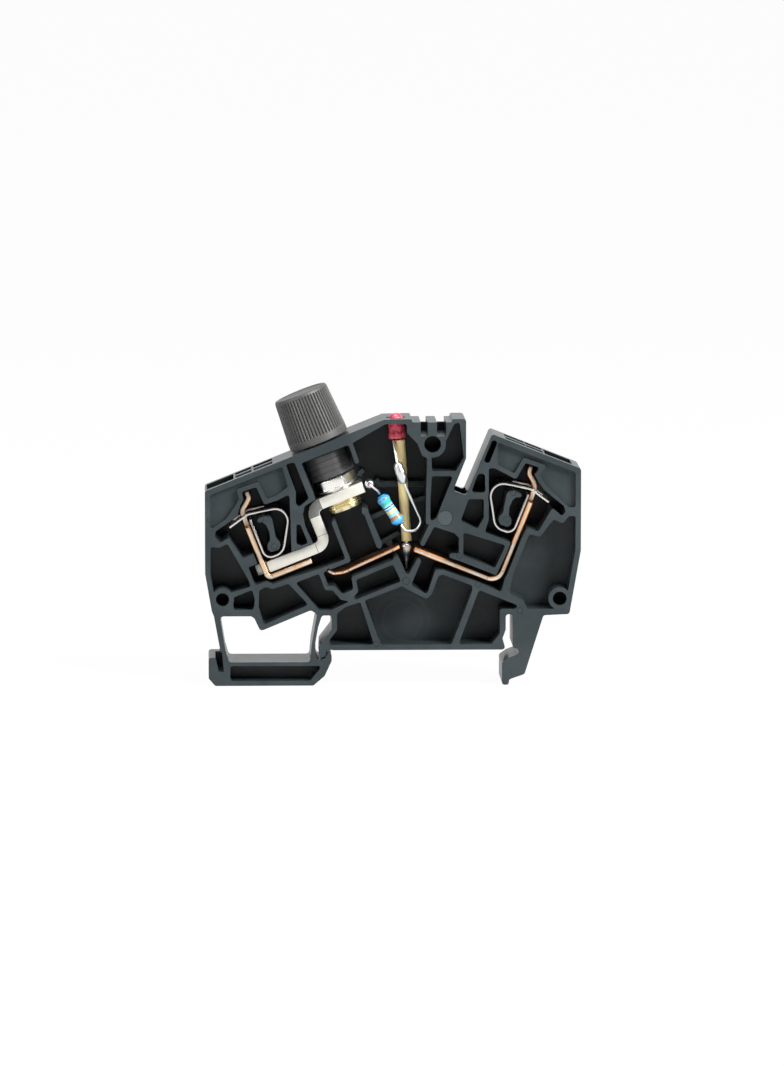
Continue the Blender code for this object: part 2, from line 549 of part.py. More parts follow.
# Fuse busbar and socket
busbar = plate(
    "fuse_busbar", [strip(busbar_path, BUSBAR_THICK, BUSBAR_BEND)], -BUSBAR_HALF_WIDTH, BUSBAR_HALF_WIDTH, parts, tinned_copper
)
shoulder = box(left, 2, LEFT_BAR_U + BAR_THICK / 2 + GAP, BUSBAR_LOW_V - 2, BUSBAR_LOW_V + 2)
boolean(busbar, "DIFFERENCE", plate("tongue_near", [shoulder], -5, -TONGUE_HALF_WIDTH, tools))
boolean(busbar, "DIFFERENCE", plate("tongue_far", [shoulder], TONGUE_HALF_WIDTH, 5, tools))
hole = SHANK_RADIUS + GAP
boolean(busbar, "DIFFERENCE", turned("shank_hole", [(0, -8), (hole, -8), (hole, -13), (0, -13)], fuse_origin, fuse_axis, tools))

barrel = [
    (BARREL_RADIUS, -TOP_WALL_V - GAP), (BARREL_RADIUS, GAP - HEX_TOP_V), (SOCKET_BORE, GAP - HEX_TOP_V),
    (SOCKET_BORE, -TOP_WALL_V - GAP),
]
turned("fuse_socket_barrel", barrel, fuse_origin, fuse_axis, parts, cap_plastic, ring=True)

plate_top = BUSBAR_PLATE_V - BUSBAR_THICK / 2
hex_radius = HEX_ACROSS_FLATS / math.sqrt(3)
bushing = turned(
    "socket_bushing", [(0, -HEX_TOP_V), (hex_radius, -HEX_TOP_V), (hex_radius, GAP - plate_top), (0, GAP - plate_top)],
    fuse_origin, fuse_axis, parts, nickel, steps=6, start=HEX_TURN,
)
shank = [(0, -HEX_TOP_V - 1), (SHANK_RADIUS, -HEX_TOP_V - 1), (SHANK_RADIUS, -SHANK_END_V), (0, -SHANK_END_V)]
boolean(bushing, "UNION", turned("bushing_shank", shank, fuse_origin, fuse_axis, tools))
bore = [(0, -5), (SHANK_BORE, -5), (SHANK_BORE, -15), (0, -15)]
boolean(bushing, "DIFFERENCE", turned("bushing_bore", bore, fuse_origin, fuse_axis, tools))

plate(
    "bottom_contact_strip", [strip(STRIP_PATH, STRIP_THICK, STRIP_BEND)], -STRIP_HALF_WIDTH, STRIP_HALF_WIDTH, parts, bare_copper
)

# Screw cap with its contact and spring
flute_foot = CAP_COLLAR + FLUTE_RUNOUT
flute_top = CAP_HEIGHT - FLUTE_RUNOUT
taper = (CAP_RADIUS - CAP_TOP_RADIUS) / (CAP_HEIGHT - CAP_COLLAR)
cap = [
    (0, GAP + CAP_HEIGHT), (CAP_TOP_RADIUS - 0.4, GAP + CAP_HEIGHT), (CAP_TOP_RADIUS, CAP_HEIGHT),
    (CAP_TOP_RADIUS + taper * FLUTE_RUNOUT, flute_top), (CAP_RADIUS - taper * FLUTE_RUNOUT, flute_foot),
    (CAP_RADIUS, CAP_COLLAR), (CAP_RADIUS, GAP), (PLUG_RADIUS, GAP), (PLUG_RADIUS, -6.3), (PLUG_BORE, -6.3),
    (PLUG_BORE, 7.4), (0, 7.4),
]
knob = turned("fuse_cap", cap, fuse_origin, fuse_axis, parts, cap_plastic, steps=2 * FLUTES)
flute(knob, FLUTES, FLUTE_DEPTH, flute_foot - 0.01, flute_top + 0.01)
clip = [(0, -1.2), (2.5, -1.2), (2.5, -6.0), (2.2, -6.0), (2.2, -1.6), (0, -1.6)]
turned("cap_contact_clip", clip, fuse_origin, fuse_axis, parts, nickel)
coil = []
coil_turns, coil_steps = 5, 16
for step in range(coil_turns * coil_steps + 1):
    angle = 2 * math.pi * step / coil_steps
    height = -0.6 + 7.4 * step / (coil_turns * coil_steps)
    across = Vector((math.cos(TILT), 0, math.sin(TILT)))
    coil.append(Vector(fuse_origin) + fuse_axis * height + across * 1.9 * math.cos(angle) + Vector((0, 1.9 * math.sin(angle), 0)))
wire("cap_spring", coil, 0.25, 0, parts, spring_steel)

# Lamp circuit
lamp = [(0, 4.7), (0.6, 4.58), (1.1, 4.2), (1.4, 3.7), (LAMP_RADIUS, 3.2), (LAMP_RADIUS, 0.9), (1.65, 0.9), (1.65, 0), (0, 0)]
turned("lamp", lamp, lamp_origin, lamp_axis, parts, lamp_plastic, steps=24)
sleeve_top = Vector((1.4, -1.2, 45.35))
sleeve_foot = Vector((2.7, REAR_LEAD_Y, 26.35))
sleeve_axis = (sleeve_top - sleeve_foot).normalized()
sleeve_length = (sleeve_top - sleeve_foot).length
sleeve = [(0.93, sleeve_length), (0.93, 0), (LEAD_BORE, 0), (LEAD_BORE, sleeve_length)]
turned("insulating_sleeve", sleeve, sleeve_foot, sleeve_axis, parts, sleeve_plastic, steps=20, ring=True)
joint_centre = Vector((2.65, REAR_LEAD_Y, 25.0))
wire(
    "lamp_lead_sleeved",
    [sleeve_top, sleeve_foot, joint_centre + Vector((0, 0, 1.2)), joint_centre - Vector((0, 0, 3.9))],
    LEAD_RADIUS, 0.3, parts, nickel,
)
joint = [
    (LEAD_BORE + 0.2, 0.95), (JOINT_RADIUS - 0.1, 0.8), (JOINT_RADIUS, 0.4), (JOINT_RADIUS, -0.5),
    (JOINT_RADIUS - 0.25, -1.0), (LEAD_BORE + 0.15, -2.4), (LEAD_BORE, -2.4), (LEAD_BORE, 0.95),
]
turned("bar_solder_joint", joint, joint_centre, (0, 0, 1), parts, solder, steps=20, ring=True)

splice_top = Vector((0.8, FRONT_LEAD_Y, 41.3))
splice_foot = Vector((2.1, FRONT_LEAD_Y, 37.4))
splice_axis = (splice_top - splice_foot).normalized()
splice_length = (splice_top - splice_foot).length
splice = [
    (LEAD_BORE + 0.1, splice_length), (LEAD_BORE + 0.25, splice_length), (0.8 * SPLICE_RADIUS, 0.8 * splice_length),
    (SPLICE_RADIUS, 0.6 * splice_length), (SPLICE_RADIUS, 0.4 * splice_length), (0.8 * SPLICE_RADIUS, 0.2 * splice_length),
    (LEAD_BORE + 0.25, 0), (LEAD_BORE + 0.1, 0),
]
turned("lead_splice", splice, splice_foot, splice_axis, parts, solder, steps=20, ring=True)
splice_middle = (splice_top + splice_foot) / 2
wire("lamp_lead_short", [Vector((0.1, -1.9, 45.25)), splice_top, splice_middle + splice_axis * 0.2], LEAD_RADIUS, 0.5, parts, nickel)

resistor_top = Vector((-2.2, FRONT_LEAD_Y, 35.1))
resistor_foot = Vector((1.35, FRONT_LEAD_Y, 29.9))
resistor_axis = (resistor_top - resistor_foot).normalized()
length = (resistor_top - resistor_foot).length
resistor = [
    (0, length), (0.9, length), (1.25, length - 0.4), (1.25, length - 1.2), (1.08, length - 1.6), (1.08, 1.6), (1.25, 1.2),
    (1.25, 0.4), (0.9, 0), (0, 0),
]
turned("resistor_body", resistor, resistor_foot, resistor_axis, parts, resistor_coat, steps=24)
wire(
    "resistor_lead_lower",
    [splice_middle - splice_axis * 0.2, splice_foot, Vector((5.05, FRONT_LEAD_Y, 29.9)), Vector((4.3, FRONT_LEAD_Y, 28.35)),
     Vector((2.6, FRONT_LEAD_Y, 28.35)), resistor_foot - resistor_axis * GAP],
    LEAD_RADIUS, 1.2, parts, nickel,
)
joint_spot = left(BUSBAR_END_U + PLATE_JOINT_RADIUS + GAP, BUSBAR_PLATE_V)
plate_joint = Vector((joint_spot.x, FRONT_LEAD_Y, joint_spot.y))
joint = [
    (LEAD_BORE, 0.8), (0.5, 0.8), (PLATE_JOINT_RADIUS - 0.05, 0.4), (PLATE_JOINT_RADIUS, -0.2),
    (PLATE_JOINT_RADIUS, -0.8), (LEAD_BORE, -0.8),
]
turned("plate_solder_joint", joint, plate_joint, (0, -1, 0), parts, solder, steps=20, ring=True)
wire(
    "resistor_lead_upper",
    [plate_joint + Vector((0, 0.7, 0)), plate_joint + Vector((0, -1.5, 0)), Vector((-2.9, FRONT_LEAD_Y - 0.6, 36.1)),
     resistor_top + resistor_axis * 0.45],
    LEAD_RADIUS, 0.4, parts, nickel,
)
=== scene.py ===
"""Looks of the fuse terminal block: finishes for the moulded housing, and finer pieces over its metal and lamp parts.

A piece is modelled in millimetres, and settle() puts it in metres once it is finished. X runs along the rail section,
Z points up and the open side faces -Y.
"""
import math

import bpy
from mathutils import Matrix, Vector


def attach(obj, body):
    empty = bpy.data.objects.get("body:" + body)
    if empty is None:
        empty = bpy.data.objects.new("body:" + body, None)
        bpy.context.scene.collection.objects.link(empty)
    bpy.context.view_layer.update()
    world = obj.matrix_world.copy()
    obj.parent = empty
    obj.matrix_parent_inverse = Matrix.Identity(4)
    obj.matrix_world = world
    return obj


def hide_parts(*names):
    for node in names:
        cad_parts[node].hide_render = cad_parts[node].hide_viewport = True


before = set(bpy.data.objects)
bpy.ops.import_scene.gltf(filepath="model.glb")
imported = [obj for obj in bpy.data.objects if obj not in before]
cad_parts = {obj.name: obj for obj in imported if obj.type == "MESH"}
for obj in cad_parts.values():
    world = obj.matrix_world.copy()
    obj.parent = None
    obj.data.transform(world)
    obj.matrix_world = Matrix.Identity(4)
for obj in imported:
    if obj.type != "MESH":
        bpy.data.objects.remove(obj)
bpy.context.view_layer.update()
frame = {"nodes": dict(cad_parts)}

MM = 0.001


# Camera at the photograph's angle
AIM = Vector((-0.21, -6.0, 28.45)) * MM
CAMERA_TURN, CAMERA_RISE = math.radians(-1.75), math.radians(6.65)
CAMERA_AWAY, CAMERA_LENS = 1.2, 219
NEAREST_SEEN, FARTHEST_SEEN = 0.05, 20

camera = bpy.data.objects.new("camera", bpy.data.cameras.new("camera"))
bpy.context.scene.collection.objects.link(camera)
camera.data.lens = CAMERA_LENS
camera.data.clip_start, camera.data.clip_end = NEAREST_SEEN, FARTHEST_SEEN
towards = Vector((math.sin(CAMERA_TURN) * math.cos(CAMERA_RISE),
                  -math.cos(CAMERA_TURN) * math.cos(CAMERA_RISE), math.sin(CAMERA_RISE)))
camera.location = AIM + towards * CAMERA_AWAY
camera.rotation_mode = "QUATERNION"
camera.rotation_quaternion = (-towards).to_track_quat("-Z", "Y")
bpy.context.scene.camera = camera
bpy.context.scene.view_settings.view_transform = "Standard"


# Shader arithmetic
class Socket:
    """An output socket that Python's operators can work on: each operator adds a Math node."""

    def __init__(self, tree, output):
        self.tree, self.output = tree, output

    def math(self, operation, *others):
        return self.tree.node("ShaderNodeMath", {"operation": operation}, [self, *others])

    def __add__(self, other):
        return self.math("ADD", other)

    def __mul__(self, other):
        return self.math("MULTIPLY", other)

    def __sub__(self, other):
        return self.math("SUBTRACT", other)

    def __rsub__(self, other):
        return self.tree.node("ShaderNodeMath", {"operation": "SUBTRACT"}, [other, self])

    def __truediv__(self, other):
        return self.math("DIVIDE", other)

    def between(self, low, high):
        """0 at low, 1 at high, smooth in between."""
        return self.tree.node("ShaderNodeMapRange", {"interpolation_type": "SMOOTHSTEP"}, [self, low, high, 0.0, 1.0])

    __radd__ = __add__
    __rmul__ = __mul__


class Tree:
    """The nodes of one material or of the world."""

    def __init__(self, owner):
        owner.use_nodes = True
        self.nodes, self.links = owner.node_tree.nodes, owner.node_tree.links
        self.nodes.clear()

    def node(self, kind, settings=None, inputs=(), output=0):
        """Adds a node, sets its settings, feeds its inputs by place or by name, and returns one of its outputs.

        An input that is None stays as it is.
        """
        made = self.nodes.new(kind)
        for name, value in (settings or {}).items():
            if name == "stops":
                made.color_ramp.interpolation = "CONSTANT"
                ramp = made.color_ramp.elements
                while len(ramp) < len(value):
                    ramp.new(0.5)
                for stop, (place, colour) in zip(ramp, value):
                    stop.position, stop.color = place, (*colour, 1)
            else:
                setattr(made, name, value)
        for name, value in (inputs.items() if isinstance(inputs, dict) else enumerate(inputs)):
            socket = made.inputs[name]
            if isinstance(value, Socket):
                self.links.new(value.output, socket)
            elif value is not None:
                is_colour = socket.type == "RGBA" and len(value) == 3
                socket.default_value = (*value, 1) if is_colour else value
        return Socket(self, made.outputs[output]) if made.outputs else None

    def place(self, scale=(1, 1, 1)):
        """Object coordinates, stretched."""
        at = self.node("ShaderNodeTexCoord", output="Object")
        return self.node("ShaderNodeMapping", {}, {"Vector": at, "Scale": scale})

    def along(self, coordinates, axis):
        """How far a kind of texture coordinates reaches along an axis: metres for Object, a share for the others."""
        at = self.node("ShaderNodeTexCoord", output=coordinates)
        return self.node("ShaderNodeVectorMath", {"operation": "DOT_PRODUCT"}, [at, axis], output="Value")

    def noise(self, size, scale=(1, 1, 1), detail=3.0):
        """Noise with spots about size millimetres across."""
        return self.node("ShaderNodeTexNoise", {}, {
            "Vector": self.place(scale), "Scale": 1 / (size * MM), "Detail": detail, "Roughness": 0.55})

    def mix(self, factor, first, second):
        """A colour between two others. A Mix node has its colours at inputs 6 and 7, and their mixture at output 2."""
        return self.node("ShaderNodeMix", {"data_type": "RGBA"}, {0: factor, 6: first, 7: second}, output=2)

    def bump(self, height, depth, strength, below=None):
        """A bump depth millimetres high, over another one."""
        return self.node("ShaderNodeBump", {}, {
            "Height": height, "Distance": depth * MM, "Strength": strength, "Normal": below})

    def surface(self, shader):
        self.node("ShaderNodeOutputMaterial", {}, {"Surface": shader})


def principled(name, build, **constants):
    """A material with a Principled shader. build gives the inputs that change over the surface."""
    made = bpy.data.materials.new(name)
    tree = Tree(made)
    inputs = dict(build(tree))
    inputs.update({key.replace("_", " "): value for key, value in constants.items()})
    tree.surface(tree.node("ShaderNodeBsdfPrincipled", {}, inputs))
    return made


# Finishes. The moulding marks are (x, z, radius): pins and the gate on the open face, arcs on the wide floor
PIN_MARKS = [(12.29, 24.22, 0.52), (15.71, 18.85, 0.52), (23.5, 13.86, 0.55), (27.75, 35.1, 0.5), (2.38, 19.5, 0.66),
             (-3.18, 7.74, 0.5), (22.2, 35.8, 0.5), (21.0, 30.9, 0.55), (-24.5, 31.0, 0.5), (-22.0, 26.0, 0.55),
             (-34.0, 30.9, 0.4), (-12.1, 19.2, 0.5)]
GATE_DISC = (9.6, 31.17, 1.4)
FLOOR_ARCS = [(1.9, 11.2, 5.0), (1.9, 11.2, 3.6), (15.6, 12.0, 1.6)]
PIN_LINE, ARC_LINE = 0.11, 0.35


def moulded(tree):
    """Black polyamide with a fine grain and its moulding marks. Painted shade darkens the deep floors that face the
    open side, so they look darker than the rims.
    """
    grain = tree.noise(0.16, detail=2.0)
    cloud = tree.noise(9.0)
    flow = tree.noise(2.2, (1, 1, 0.35), detail=4.0)
    depth = tree.along("Object", (0, 1, 0))
    painted_shade_facing = tree.along("Normal", (0, -1, 0)).between(0.6, 0.9)
    flat = tree.place((1, 0, 1))

    def deeper(near, far):
        """0 nearer to the open side than near, 1 deeper than far."""
        return depth.between(near * MM, far * MM)

    def distance(x, z):
        return tree.node("ShaderNodeVectorMath", {"operation": "DISTANCE"}, [flat, (x * MM, 0, z * MM)], output="Value")

    def ring(x, z, radius, line):
        return 1 - (distance(x, z) - radius * MM).math("ABSOLUTE").between(0.0, line * MM)

    on_front = 1 - deeper(-5.95, -5.85)
    grooves = sum(ring(*mark, PIN_LINE) for mark in [GATE_DISC, *PIN_MARKS]) * on_front
    arcs = sum(ring(*arc, ARC_LINE) for arc in FLOOR_ARCS) * deeper(1.0, 1.3) * (1 - deeper(2.4, 2.8))
    gate_x, gate_z, gate_radius = GATE_DISC
    disc = (1 - distance(gate_x, gate_z).between((gate_radius - 0.1) * MM, gate_radius * MM)) * on_front
    colour = tree.mix(cloud.between(0.35, 0.7), (0.022, 0.030, 0.033), (0.033, 0.042, 0.046))
    # Painted shade: deep floors that face the open side get a darker colour, standing in for the shade of the pocket
    # walls
    colour = tree.mix(deeper(2.0, 4.4) * painted_shade_facing, colour, (0.0055, 0.0085, 0.0100))
    colour = tree.mix(disc * 0.8 + arcs * 0.25, colour, (0.050, 0.060, 0.066))
    colour = tree.mix(grooves * 0.9, colour, (0.006, 0.008, 0.010))
    return {"Base Color": colour, "Roughness": 0.24 + flow * 0.10 + grain * 0.06,
            "Normal": tree.bump(1 - grooves, 0.05, 0.6, below=tree.bump(grain, 0.008, 0.4))}


def knob_plastic(tree):
    grain = tree.noise(0.12, detail=2.0)
    colour = tree.mix(tree.noise(3.0), (0.05, 0.05, 0.049), (0.066, 0.066, 0.064))
    return {"Base Color": colour, "Roughness": 0.42 + grain * 0.12, "Normal": tree.bump(grain, 0.01, 0.4)}


def glossy(tree):
    cloud = tree.noise(0.9)
    colour = tree.mix(cloud, (0.034, 0.034, 0.034), (0.055, 0.055, 0.055))
    return {"Base Color": colour, "Roughness": 0.32 + cloud * 0.12}


def sleeving(tree):
    cloud = tree.noise(1.6, (1, 1, 0.3))
    colour = tree.mix(cloud, (0.66, 0.52, 0.22), (0.80, 0.66, 0.34))
    return {"Base Color": colour, "Roughness": 0.32 + cloud * 0.1}


def red_lens(tree):
    cloud = tree.noise(1.0)
    colour = tree.mix(cloud.between(0.35, 0.65), (0.52, 0.03, 0.06), (0.82, 0.14, 0.19))
    return {"Base Color": colour, "Roughness": 0.1 + cloud * 0.1}


RESISTOR_TOP = Vector((-2.2, -3.2, 35.1))
RESISTOR_FOOT = Vector((1.35, -3.2, 29.9))
RESISTOR_AXIS = (RESISTOR_TOP - RESISTOR_FOOT).normalized()
RESISTOR_LENGTH = (RESISTOR_TOP - RESISTOR_FOOT).length
BLUE, PALE_BLUE = (0.075, 0.40, 0.78), (0.22, 0.62, 0.90)
BROWN, OCHRE, SILVER, BLACK = (0.40, 0.19, 0.10), (0.70, 0.60, 0.30), (0.82, 0.86, 0.88), (0.03, 0.03, 0.05)
GREEN, DARK_BROWN = (0.05, 0.42, 0.33), (0.20, 0.10, 0.06)
PAINTED_RINGS = [
    (0.0, BLUE), (0.19, BROWN), (0.29, PALE_BLUE), (0.39, OCHRE), (0.50, BLUE), (0.56, SILVER), (0.585, BLACK),
    (0.62, PALE_BLUE), (0.68, GREEN), (0.79, BLUE), (0.87, DARK_BROWN), (0.895, BLUE)]


def lacquer(tree):
    """Blue lacquer with the painted rings, each from its share of the body's length above the foot."""
    wander = (tree.noise(0.9) - 0.5) * 0.03
    above_foot = tree.along("Object", RESISTOR_AXIS) - RESISTOR_FOOT.dot(RESISTOR_AXIS) * MM
    paint = tree.node("ShaderNodeValToRGB", {"stops": PAINTED_RINGS}, [above_foot / (RESISTOR_LENGTH * MM) + wander])
    cloud = tree.noise(0.7)
    return {"Base Color": paint, "Roughness": 0.16 + cloud * 0.12, "Normal": tree.bump(cloud, 0.03, 0.4)}


def metal(name, colour, stain, low, high, along=(1, 1, 1), size=0.5, depth=0.004):
    """A metal, low to high in roughness, with rolling marks along one direction and a little staining."""
    def build(tree):
        marks = tree.noise(size, along, detail=4.0)
        return {
            "Base Color": tree.mix(tree.noise(2.5).between(0.3, 0.75), colour, stain),
            "Roughness": low + marks * (high - low),
            "Normal": tree.bump(marks, depth, 0.5),
        }
    return principled(name, build, Metallic=1.0)


def cut_edge(name, light, dark, low, high, lines=(1, 1, 1)):
    """A cut edge of metal: fine shearing marks, light where it is burnished and dark where it tore."""
    def build(tree):
        marks = tree.noise(0.22, lines, detail=4.0)
        return {
            "Base Color": tree.mix(tree.noise(1.4) * 0.6 + marks * 0.4, dark, light),
            "Roughness": low + marks * (high - low),
            "Normal": tree.bump(marks, 0.006, 0.6),
        }
    return principled(name, build, Metallic=1.0)


ACROSS = (1, 0.15, 1)

black_polyamide = principled("black_polyamide", moulded, Specular_IOR_Level=0.25)
grey_cap_plastic = principled("grey_cap_plastic", knob_plastic)
glossy_black = principled("glossy_black", glossy)
olive_sleeving = principled("olive_sleeving", sleeving, Subsurface_Weight=0.15, Subsurface_Scale=0.0006)
red_plastic = principled("red_plastic", red_lens, Transmission_Weight=0.2, IOR=1.49)
blue_lacquer = principled("blue_lacquer", lacquer)

nickel_plate = metal("nickel_plate", (0.96, 0.95, 0.90), (0.88, 0.86, 0.80), 0.16, 0.30, (1, 8, 1), depth=0.001)
tin_plate = metal("tin_plate", (0.95, 0.93, 0.87), (0.88, 0.84, 0.75), 0.20, 0.40, ACROSS)
spring_steel = metal("spring_steel", (0.80, 0.79, 0.77), (0.68, 0.66, 0.63), 0.16, 0.34, (1, 0.12, 1))
tinned_copper = metal("tinned_copper", (0.88, 0.58, 0.38), (0.78, 0.44, 0.25), 0.2, 0.42, ACROSS)
yellow_plate = metal("yellow_plate", (0.92, 0.84, 0.56), (0.84, 0.70, 0.38), 0.2, 0.4, depth=0.001)
bare_copper = metal("bare_copper", (0.86, 0.52, 0.33), (0.72, 0.38, 0.22), 0.2, 0.45, ACROSS)
bright_edge = metal("bright_edge", (0.99, 0.92, 0.79), (0.95, 0.66, 0.42), 0.26, 0.5, (1, 6, 1))
solder = metal("solder", (0.84, 0.84, 0.84), (0.70, 0.70, 0.71), 0.24, 0.42, size=0.7, depth=0.005)
tinned_wire = metal("tinned_wire", (0.90, 0.90, 0.89), (0.80, 0.80, 0.79), 0.26, 0.40, size=0.6, depth=0.001)

copper_border = cut_edge("copper_border", (0.95, 0.38, 0.12), (0.58, 0.18, 0.05), 0.3, 0.5)
pale_border = cut_edge("pale_border", (0.94, 0.62, 0.38), (0.60, 0.34, 0.18), 0.3, 0.5)
polished_edge = cut_edge("polished_edge", (0.92, 0.91, 0.88), (0.75, 0.73, 0.70), 0.2, 0.4, (1, 6, 1))
brushed_edge = cut_edge("brushed_edge", (0.99, 0.98, 0.90), (0.80, 0.78, 0.69), 0.30, 0.55, (1, 5, 1))
worked_metal = cut_edge("worked_metal", (0.46, 0.46, 0.44), (0.07, 0.07, 0.07), 0.3, 0.6)
dark_line = cut_edge("dark_line", (0.16, 0.14, 0.12), (0.06, 0.05, 0.05), 0.4, 0.7)

nodes = frame["nodes"]
for name, finish in {"housing": black_polyamide, "cap_contact_clip": nickel_plate, "cap_spring": spring_steel}.items():
    mesh = nodes[name].data
    mesh.materials.clear()
    mesh.materials.append(finish)


# Modelling: millimetres until settle() puts a piece in the model's metres
TILT = math.radians(21.7)
LEFT_CORNER, RIGHT_CORNER = (-34.8, 36.3), (34.8, 40.3)
GAP = 0.3
ARC = math.radians(7.5)


def left(u, v):
    """A point from its distances along the left tower's top and down from it."""
    x, z = LEFT_CORNER
    return Vector((x + u * math.cos(TILT) + v * math.sin(TILT), 0, z + u * math.sin(TILT) - v * math.cos(TILT)))


def right(u, v):
    """The same on the right tower, measured inwards from its corner."""
    x, z = RIGHT_CORNER
    return Vector((x - u * math.cos(TILT) - v * math.sin(TILT), 0, z + u * math.sin(TILT) - v * math.cos(TILT)))


def take(piece=None):
    """Leaves only this piece selected, or nothing."""
    if bpy.context.mode != "OBJECT":
        bpy.ops.object.mode_set(mode="OBJECT")
    bpy.ops.object.select_all(action="DESELECT")
    if piece:
        piece.select_set(True)
        bpy.context.view_layer.objects.active = piece


def edit(piece):
    """Opens a piece in edit mode with all of it selected."""
    take(piece)
    bpy.ops.object.mode_set(mode="EDIT")
    bpy.ops.mesh.select_all(action="SELECT")


def pick(piece, rule):
    """Opens a piece in edit mode with the points selected that the rule names."""
    edit(piece)
    bpy.ops.mesh.select_all(action="DESELECT")
    bpy.ops.object.mode_set(mode="OBJECT")
    for point in piece.data.vertices:
        point.select = rule(point.co)
    bpy.ops.object.mode_set(mode="EDIT")


def apply_place(piece):
    take(piece)
    bpy.ops.object.transform_apply(location=True, rotation=True, scale=True)


def begin(name, scale=(1, 1, 1)):
    """Names the primitive that was just added, applies its place and size, and opens it in edit mode."""
    piece = bpy.context.object
    piece.name = name
    piece.scale = scale
    apply_place(piece)
    edit(piece)
    return piece


def close_up(piece):
    """Merges doubled points, turns every face outwards and goes back to object mode."""
    bpy.ops.mesh.select_all(action="SELECT")
    bpy.ops.mesh.remove_doubles(threshold=0.002)
    bpy.ops.mesh.normals_make_consistent(inside=False)
    take(piece)


def bend_reaches(path, bend):
    """How far each corner's arc reaches along its two runs."""
    runs = [end - start for start, end in zip(path, path[1:])]
    found = [0.0]
    for run, after in zip(runs, runs[1:]):
        found.append(min(bend * math.tan(run.angle(after) / 2), 0.45 * run.length, 0.45 * after.length))
    return found + [0.0]


def follow(path, bend, score=0.0):
    """Draws the selected end face along a path: extruded over each straight run and spun round each corner.

    A score is a short length of its own at both ends of each bend.
    """
    runs = [end - start for start, end in zip(path, path[1:])]
    reaches = bend_reaches(path, bend)
    for index, run in enumerate(runs):
        way = run.normalized()
        scored = [score if index else 0.0, score if index + 1 < len(runs) else 0.0]
        straight = run.length - reaches[index] - reaches[index + 1] - sum(scored)
        for length in (scored[0], straight, scored[1]):
            if length > 0:
                bpy.ops.mesh.extrude_region_move(TRANSFORM_OT_translate={"value": way * length})
        if index + 1 == len(runs):
            break
        after = runs[index + 1]
        turn = run.angle(after)
        radius = reaches[index + 1] / math.tan(turn / 2)
        inwards = (after.normalized() - way).normalized()
        bpy.ops.mesh.spin(
            steps=max(2, round(turn / ARC)), angle=-turn, axis=run.cross(after).normalized(),
            center=path[index + 1] + inwards * (radius / math.cos(turn / 2)))


def bent_strip(name, path, thick, near_y, far_y, bend, score=0.0):
    """A flat strip: its end face, drawn along the middle line that the bends follow."""
    first = (path[1] - path[0]).normalized()
    take()
    bpy.ops.mesh.primitive_plane_add(
        size=1, location=(path[0].x, (near_y + far_y) / 2, path[0].z), rotation=(0, math.atan2(-first.x, -first.z), 0))
    piece = begin(name, (thick, far_y - near_y, 1))
    follow(path, bend, score)
    close_up(piece)
    return piece


def lathe(name, rings, steps=72, bored=False):
    """A round piece standing on Z: a circle, drawn from ring to ring of (radius, height). bored closes it on itself."""
    radius, height = rings[0]
    take()
    bpy.ops.mesh.primitive_circle_add(
        vertices=steps, radius=radius, fill_type="NOTHING" if bored else "NGON", location=(0, 0, height))
    piece = begin(name)
    for (old, low), (new, high) in zip(rings, rings[1:] + (rings[:1] if bored else [])):
        bpy.ops.mesh.extrude_region_move(TRANSFORM_OT_translate={"value": (0, 0, high - low)})
        if abs(new - old) > 1e-6:
            bpy.ops.transform.resize(value=(new / old, new / old, 1), center_override=(0, 0, 0))
    close_up(piece)
    return piece


def stand(piece, origin, axis, turn=0.0):
    """Stands a lathed piece on its own place and axis."""
    place = Matrix.Translation(origin) @ axis.to_track_quat("Z", "Y").to_matrix().to_4x4()
    piece.matrix_world = place @ Matrix.Rotation(turn, 4, "Z")
    apply_place(piece)
    return piece


def block(tower, u0, u1, v0, v1, near_y, far_y):
    """A box in one tower's own directions, for cutting."""
    take()
    middle = (tower(u0, v0) + tower(u1, v1)) / 2
    bpy.ops.mesh.primitive_cube_add(
        size=1, location=(middle.x, (near_y + far_y) / 2, middle.z), rotation=(0, -TILT if tower is left else TILT, 0))
    made = bpy.context.object
    made.scale = (abs(u1 - u0), far_y - near_y, abs(v1 - v0))
    apply_place(made)
    return made


def combine(piece, other, operation="DIFFERENCE"):
    """Cuts another shape out of a piece, or joins it on."""
    change = piece.modifiers.new(operation.title(), "BOOLEAN")
    change.operation, change.solver, change.object = operation, "EXACT", other
    take(piece)
    bpy.ops.object.modifier_apply(modifier=change.name)
    bpy.data.objects.remove(other)


def soften(piece, width, segments=2, angle=35, smooth=32, clamp=True):
    """Rounds the edges sharper than angle, and shades smooth those flatter than smooth, in degrees."""
    if width:
        change = piece.modifiers.new("Soft edges", "BEVEL")
        change.width, change.segments, change.limit_method = width, segments, "ANGLE"
        change.angle_limit = math.radians(angle)
        change.use_clamp_overlap = clamp
        take(piece)
        bpy.ops.object.modifier_apply(modifier=change.name)
    take(piece)
    bpy.ops.object.shade_smooth_by_angle(angle=math.radians(smooth))


def dress(piece, finishes, rule=None):
    """Gives a piece its finishes. rule picks one for each face by its number."""
    for finish in finishes:
        piece.data.materials.append(finish)
    if rule:
        for face in piece.data.polygons:
            face.material_index = rule(face)


def settle(piece, body, *nodes):
    """Puts a finished piece in metres, on its body and in place of its plain solids."""
    piece.scale = (MM, MM, MM)
    apply_place(piece)
    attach(piece, body)
    if nodes:
        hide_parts(*nodes)


def turned(name, rings, steps, origin, axis, finish, smooth, *nodes, bored=False):
    """A lathed piece of one finish, fixed to the housing in place of its plain solids."""
    piece = stand(lathe(name, rings, steps, bored), origin, axis)
    soften(piece, 0, smooth=smooth)
    dress(piece, [finish])
    settle(piece, "base", *nodes)


# The finishes of a strip's faces, by number
FLAT, EDGE, BORDER, SCORED, WORKED = range(5)


def edges_of_strip(face):
    """Whether a face is one of the flats, of the cut edges or of the borders between them."""
    sideways = abs(face.normal.y)
    return EDGE if sideways > 0.98 else BORDER if sideways > 0.12 else FLAT


